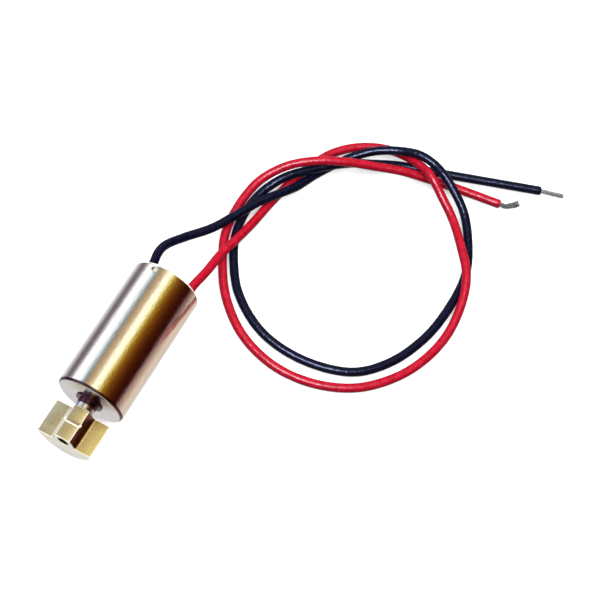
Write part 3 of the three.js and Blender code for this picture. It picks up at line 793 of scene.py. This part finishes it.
tungsten, tree, shader = new_finish("sintered_tungsten", (0.95, 0.92, 0.74), 1.0, 0.32)
place = add(tree, "ShaderNodeTexCoord").outputs["Object"]
place = add(tree, "ShaderNodeMapping", {
    "Vector": place, "Location": Vector((0.0, FRONT_FACE_Y, AXIS_HEIGHT)) * MM,
    "Rotation": (0.0, ROTOR_ANGLE, 0.0), "Scale": (MM, MM, MM),
}, vector_type="TEXTURE").outputs[0]
part = add(tree, "ShaderNodeSeparateXYZ", {0: place}).outputs
across = add(tree, "ShaderNodeMapRange", {"Value": part["X"], "From Min": -2.5, "From Max": 2.5})
# Painted light: a near-white painted highlight on the hub's left flank, a deep maroon painted dark
# reflection on its right flank and a gold painted reflection on the right wing; the left wing and the
# hub keep a khaki grey.
tone_and_painted_light = tones(
    tree, across.outputs[0], (0.0, (0.97, 0.93, 0.74)), (0.22, (0.97, 0.95, 0.78)),
    (0.27, (1.0, 1.0, 0.95)), (0.35, (1.0, 1.0, 0.97)), (0.38, (0.96, 0.93, 0.73)),
    (0.62, (0.96, 0.92, 0.72)), (0.645, (0.36, 0.16, 0.15)), (0.7, (0.36, 0.16, 0.15)),
    (0.73, (0.82, 0.74, 0.5)), (1.0, (0.84, 0.73, 0.4)),
)
behind_face = add(tree, "ShaderNodeMapRange", {
    "Value": part["Y"], "From Min": WEIGHT_FRONT + 0.01, "From Max": WEIGHT_FRONT + 0.03,
}).outputs[0]
tone_and_painted_light = blend(tree, behind_face, (0.98, 0.97, 0.92, 1.0), tone_and_painted_light)
# Painted shade: within the hub's width, below its top and behind the front face, the colour darkens
# nearly to black, in the notch and the bore.
middle = math_node(tree, "LESS_THAN", math_node(tree, "ABSOLUTE", part["X"]), HUB_HALF - 0.01)
depth = add(tree, "ShaderNodeMapRange", {
    "Value": part["Z"], "From Min": HUB_TOP - 0.02, "From Max": 0.44, "To Min": 0.0, "To Max": 0.92,
}).outputs[0]
recess_shade = math_node(tree, "MULTIPLY", math_node(tree, "MULTIPLY", middle, behind_face), depth)
tone_and_painted_light = blend(tree, recess_shade, tone_and_painted_light, (0.02, 0.015, 0.015, 1.0))
pressed = grain(tree, 0.1, detail=6.0, rough=0.65)
grains = tones(
    tree, pressed, (0.3, (0.6, 0.62, 0.46)), (0.46, (0.96, 0.86, 0.84)), (0.54, (0.88, 0.92, 0.74)),
    (0.66, (1.0, 1.0, 0.92)),
)
tree.links.new(blend(tree, 1.0, tone_and_painted_light, grains, "MULTIPLY"), shader.inputs["Base Color"])
cloudy = grain(tree, 0.7, detail=3.0)
roughened(tree, shader, cloudy, 0.24, 0.36)
bump(tree, shader, pressed, 0.012, 0.5)

# The second finish, for bevelled edges and the lumps, is lighter and less metallic: partly edges worn
# bright by rubbing, partly a painted highlight.
rubbed_and_highlit, tree, shader = new_finish("rubbed_highlit_tungsten", (1.0, 0.97, 0.84), 0.25, 0.2)
worn = grain(tree, 0.08, detail=4.0)
coloured(tree, shader, worn, (0.8, 0.76, 0.6), (1.0, 0.98, 0.88), 0.3, 0.6)
roughened(tree, shader, worn, 0.14, 0.3)
print("weight finishes made")

# %% Weight
FLANK_SLOPE, FILLET = math.radians(72.0), 0.3
FLANK_DROP = HUB_TOP - WING_TOP - FILLET * (1 - math.cos(FLANK_SLOPE))
WING_START = HUB_HALF + FLANK_DROP / math.tan(FLANK_SLOPE) + FILLET * math.sin(FLANK_SLOPE)
NOTCH_Y, NOTCH_FRONT, NOTCH_REAR, NOTCH_DEPTH = -2.42, 0.1, 0.4, 0.15
WORN_WIDTH = 0.045
LUMP_HALF_SIZE = (0.11, 0.15, 0.12)
ends = math.asin(-WING_TOP / WEIGHT_RADIUS)
moon = []
for k in range(121):
    turn_to = math.pi + ends + (math.pi - 2 * ends) * k / 120
    moon.append((WEIGHT_RADIUS * math.cos(turn_to), WEIGHT_RADIUS * math.sin(turn_to)))
right = []
for k in range(9):
    lean = FLANK_SLOPE * k / 8
    across, up = FILLET * math.sin(lean), FILLET * (1 - math.cos(lean))
    right.append((WING_START - across, WING_TOP + up))
right.append((HUB_HALF, HUB_TOP))
moon += right + [(-x, z) for x, z in reversed(right)]
weight = swept_solid("half_moon_weight", moon, WEIGHT_FRONT, WEIGHT_REAR)
CUTTER_START = -5.0
boolean(weight, swept_solid("bore", round_outline(WEIGHT_BORE, 64), CUTTER_START, 0.0), "DIFFERENCE")
mouth = swept_solid("mouth", round_outline(WEIGHT_MOUTH, 64), CUTTER_START, SHAFT_FRONT)
boolean(weight, mouth, "DIFFERENCE")
low, high = HUB_TOP - NOTCH_DEPTH, HUB_TOP + NOTCH_DEPTH
corners = ((NOTCH_Y, low), (NOTCH_Y + 2 * NOTCH_REAR, high), (NOTCH_Y - 2 * NOTCH_FRONT, high))
notch = loose_solid(
    "notch", [(x, y, z) for x in (-1.0, 1.0) for y, z in corners],
    [(0, 1, 2), (3, 4, 5), (0, 1, 4, 3), (1, 2, 5, 4), (2, 0, 3, 5)],
)
boolean(weight, notch, "DIFFERENCE")
weight.data.materials.append(tungsten)
weight.data.materials.append(rubbed_and_highlit)
edges = weight.modifiers.new("worn edges", "BEVEL")
edges.width, edges.segments, edges.limit_method = WORN_WIDTH, 3, "ANGLE"
edges.angle_limit, edges.material = math.radians(25), 1
apply_modifiers(weight)
for side in (-1, 1):
    work = bmesh.new()
    bmesh.ops.create_icosphere(work, subdivisions=3, radius=1.0)
    place = Vector((side * (HUB_HALF + 0.02), NOTCH_Y + 0.08, HUB_TOP - 0.08))
    lump = loose_solid("lump", [], [])
    for v in work.verts:
        v.co = place + v.co * Vector(LUMP_HALF_SIZE)
    work.to_mesh(lump.data)
    work.free()
    lump.data.materials.append(rubbed_and_highlit)
    boolean(weight, lump, "UNION")
weight.data.transform(Matrix.Scale(MM, 4) @ motor_place(rotor=True))
shaded(weight, 28.0)
finished(weight, "rotor", tungsten, "tungsten_alloy", "eccentric_weight")

# %% [markdown]
# ## The end cap
#
# A moulded cap closes the can. Its rim stands a little proud, and each lead comes out of its own
# round hole. It is turned, then the two holes are cut.

# %% Cap
cap = loose_solid("moulded_cap", *lathe(eased([
    (2.3, CAP_INNER), (2.3, CAP_INNER - 0.4), (CAP_RADIUS, CAP_INNER - 0.4), (CAP_RADIUS, CAP_REAR),
], 0.1), 200, closed=False))
for side in (-1, 1):
    hole = loose_solid("hole", *lathe([
        (CAP_HOLE, CAP_REAR - LEAD_DEPTH - 0.05), (CAP_HOLE, CAP_REAR - 0.07),
        (CAP_HOLE_MOUTH, CAP_REAR + 0.04), (CAP_HOLE_MOUTH, CAP_REAR + 0.5),
    ], 64, closed=False))
    hole.data.transform(Matrix.Translation((side * LEAD_ASIDE, 0.0, 0.0)))
    boolean(cap, hole, "DIFFERENCE")
cap.data.transform(Matrix.Scale(MM, 4) @ motor_place())
shaded(cap, 35.0)
cap_plastic, tree, shader = new_finish("cap_plastic", (0.86, 0.82, 0.72), 0.0, 0.42)
cloudy = grain(tree, 0.5, detail=4.0)
coloured(tree, shader, cloudy, (0.82, 0.77, 0.66), (0.9, 0.87, 0.79))
bump(tree, shader, grain(tree, 0.06), 0.006, 0.5)
finished(cap, "stator", cap_plastic, "cap_plastic", "end_cap")

# %% [markdown]
# ## Inside the can
#
# The tube, magnet, coil, commutator and brushes are sealed in, so the frame's own solids are kept
# for them and each gets a finish: smooth brass, ground magnet, gold-plated contacts, dull solder
# and lacquered copper wire, whose turns lean round the coil as fine ribs.

# %% Inner finishes


def inner_finish(name, dark, light, metal, rough, size_mm, stretch=(1.0, 1.0, 1.0)):
    """A finish of two tones with a little bump, for a sealed-in piece."""
    material, tree, shader = new_finish(name, dark, metal, rough)
    marks = grain(tree, size_mm, stretch=stretch, detail=4.0)
    coloured(tree, shader, marks, dark, light)
    roughened(tree, shader, marks, rough - 0.06, rough + 0.1)
    bump(tree, shader, marks, 0.006, 0.5)
    return material


brass = inner_finish("tube_brass", (0.55, 0.36, 0.12), (0.75, 0.53, 0.22), 1.0, 0.28, 0.1, (8, 1, 8))
magnet = inner_finish("ground_magnet", (0.1, 0.1, 0.11), (0.24, 0.24, 0.26), 0.9, 0.45, 0.06)
gold = inner_finish("contact_gold", (0.7, 0.45, 0.13), (0.85, 0.62, 0.24), 1.0, 0.2, 0.05, (1, 6, 1))
solder = inner_finish("dull_solder", (0.42, 0.43, 0.44), (0.7, 0.71, 0.72), 1.0, 0.32, 0.12)
dark_plastic = inner_finish("dark_plastic", (0.02, 0.02, 0.022), (0.045, 0.045, 0.05), 0.0, 0.45, 0.08)
copper, tree, shader = new_finish("copper_wire", (0.5, 0.19, 0.07), 0.85, 0.34)
turns = add(tree, "ShaderNodeTexWave", {
    "Vector": add(tree, "ShaderNodeTexCoord").outputs["Object"], "Scale": 900.0, "Distortion": 0.6,
}, wave_type="BANDS", bands_direction="DIAGONAL").outputs[1]
coloured(tree, shader, turns, (0.24, 0.07, 0.025), (0.72, 0.32, 0.13), 0.1, 0.8)
bump(tree, shader, turns, 0.02, 0.8)
INNER = {
    "bearing_tube": brass, "rear_bearing": bronze, "magnet": magnet, "rear_washer": steel,
    "coil": copper, "coil_plate": dark_plastic, "terminal_red": gold, "terminal_black": gold,
    "brush_red": gold, "brush_black": gold, "solder_joint_red": solder,
    "solder_joint_black": solder, "commutator_segment_1": gold, "commutator_segment_2": gold,
    "commutator_segment_3": gold,
}
for name, inner in INNER.items():
    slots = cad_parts[name].data.materials
    slots.clear()
    slots.append(inner)
print(len(INNER), "inner pieces finished")

# %% [markdown]
# ## The studio
#
# A plain pale floor carries the motor. The room stands for long lamps and cards set up along the
# motor: a bright white lamp on the left, a warm one overhead, and dark warm cards on the right. A
# mirror-bright can shows exactly these, so they are given as bands of colour round the shaft's
# direction, and only shiny surfaces see them. Towards the motor's two ends the bands fade to a plain
# grey. Everything else gets white light that is strongest from straight above.

# %% Floor
FLOOR_HALF, FLOOR_HEIGHT = 2.0, -0.006
floor = mesh_object("pale_floor", [
    (sx * FLOOR_HALF / MM, sy * FLOOR_HALF / MM, FLOOR_HEIGHT)
    for sx, sy in ((-1, -1), (1, -1), (1, 1), (-1, 1))
], [(0, 1, 2, 3)])
pale, tree, shader = new_finish("pale_floor", (0.93, 0.93, 0.93), 0.0, 0.9)
paper = grain(tree, 3.0, detail=3.0)
coloured(tree, shader, paper, (0.92, 0.92, 0.92), (0.94, 0.94, 0.94))
floor.data.materials.append(pale)
floor.visible_glossy = False
floor.visible_diffuse = False
print("floor laid")

# %% Room
GLARE = 1.3
BANDS = [
    (-180, (0.82, 0.82, 0.83)), (-150, (0.83, 0.83, 0.84)), (-132, (0.75, 0.72, 0.75)),
    (-120, (0.47, 0.43, 0.48)), (-108, (0.19, 0.16, 0.2)), (-98, (0.16, 0.13, 0.17)),
    (-88, (0.27, 0.24, 0.28)), (-82, (0.55, 0.51, 0.55)), (-76, (1.25, 1.25, 1.25)),
    (-56, (1.2, 1.22, 1.22)), (-48, (0.85, 0.98, 1.05)), (-37, (0.2, 0.24, 0.26)),
    (-25, (0.5, 0.34, 0.19)), (-12, (0.68, 0.5, 0.27)), (-5, (1.3, 1.28, 1.0)),
    (8, (1.3, 1.28, 0.95)), (15, (0.85, 0.72, 0.2)), (24, (0.4, 0.21, 0.01)),
    (36, (0.21, 0.07, 0.008)), (48, (0.115, 0.03, 0.004)), (62, (0.06, 0.01, 0.002)),
    (86, (0.022, 0.002, 0.002)), (92, (0.08, 0.03, 0.03)), (97, (0.3, 0.16, 0.14)),
    (108, (0.46, 0.32, 0.26)), (130, (0.8, 0.64, 0.53)), (150, (0.7, 0.6, 0.5)),
    (168, (0.72, 0.66, 0.61)),
]
room = bpy.data.worlds.new("studio_room")
scene.world = room
room.use_nodes = True
room.cycles.sampling_method = "NONE"
tree = room.node_tree
tree.nodes.clear()
looking = add(tree, "ShaderNodeTexCoord").outputs["Generated"]
direction = add(tree, "ShaderNodeSeparateXYZ", {0: looking}).outputs
around = math_node(tree, "ARCTAN2", direction["X"], direction["Z"])
around = add(tree, "ShaderNodeMapRange", {
    "Value": around, "From Min": -math.pi, "From Max": math.pi,
}).outputs[0]
bands = tones(tree, around, *[
    ((angle + 180) / 360, [part / GLARE for part in colour]) for angle, colour in BANDS
])


def ease_in(value, low, high):
    """A smooth step from 0 at low to 1 at high."""
    node = add(tree, "ShaderNodeMapRange", {"Value": value, "From Min": low, "From Max": high})
    node.interpolation_type = "SMOOTHSTEP"
    return node.outputs[0]


def mixed(factor, first, second):
    """One shader where the factor is 0, the other where it is 1."""
    return add(tree, "ShaderNodeMixShader", {0: factor, 1: first, 2: second}).outputs[0]


upwards = direction["Z"]
pole = ease_in(math_node(tree, "ABSOLUTE", direction["Y"]), 0.8, 0.95)
bands = blend(tree, pole, bands, (0.5, 0.49, 0.49, 1.0))
shiny = add(tree, "ShaderNodeBackground", {"Color": bands, "Strength": GLARE})
overhead = add(tree, "ShaderNodeMapRange", {
    "Value": upwards, "From Min": 0.4, "From Max": 1.0, "To Min": 0.1, "To Max": 3.45,
}).outputs[0]
overhead = math_node(tree, "MULTIPLY", overhead, ease_in(upwards, -0.1, 0.05))
soft = add(tree, "ShaderNodeBackground", {"Color": (1.0, 1.0, 1.0, 1.0), "Strength": overhead})
plain = add(tree, "ShaderNodeBackground", {"Color": (1.0, 1.0, 1.0, 1.0), "Strength": 1.0})
path = add(tree, "ShaderNodeLightPath").outputs
light = mixed(path["Is Diffuse Ray"], plain.outputs[0], soft.outputs[0])
light = mixed(path["Is Glossy Ray"], light, shiny.outputs[0])
add(tree, "ShaderNodeOutputWorld", {"Surface": light})
print("room lit by", len(BANDS), "bands")

# %% [markdown]
# ## Lamps
#
# One large soft lamp fills the side away from the camera without casting a shadow. A smaller one
# puts a clean shine along the leads only, so it is linked to them and adds no light of its own to
# their colour.

# %% Lamps


def soft_lamp(name, size, power, place):
    """A round area lamp aimed at the motor."""
    data = bpy.data.lights.new(name, "AREA")
    data.shape, data.size, data.energy = "DISK", size, power
    lamp = bpy.data.objects.new(name, data)
    scene.collection.objects.link(lamp)
    lamp.location = place
    lamp.rotation_mode = "QUATERNION"
    lamp.rotation_quaternion = lamp.location.to_track_quat("Z", "Y")
    lamp.visible_camera = False
    return lamp


fill = soft_lamp("soft_lamp", 0.25, 0.9, (-0.12, 0.1, 0.4))
fill.data.use_shadow = False
fill.visible_glossy = False
sheen = soft_lamp("lead_sheen_lamp", 0.12, 5.0, (0.0, -0.1, 0.34))
sheen.visible_diffuse = False
leads = bpy.data.collections.new("insulated_leads")
for piece in (red_lead, black_lead):
    leads.objects.link(piece)
sheen.light_linking.receiver_collection = leads
scene.view_settings.view_transform = "Standard"
print("two lamps set")
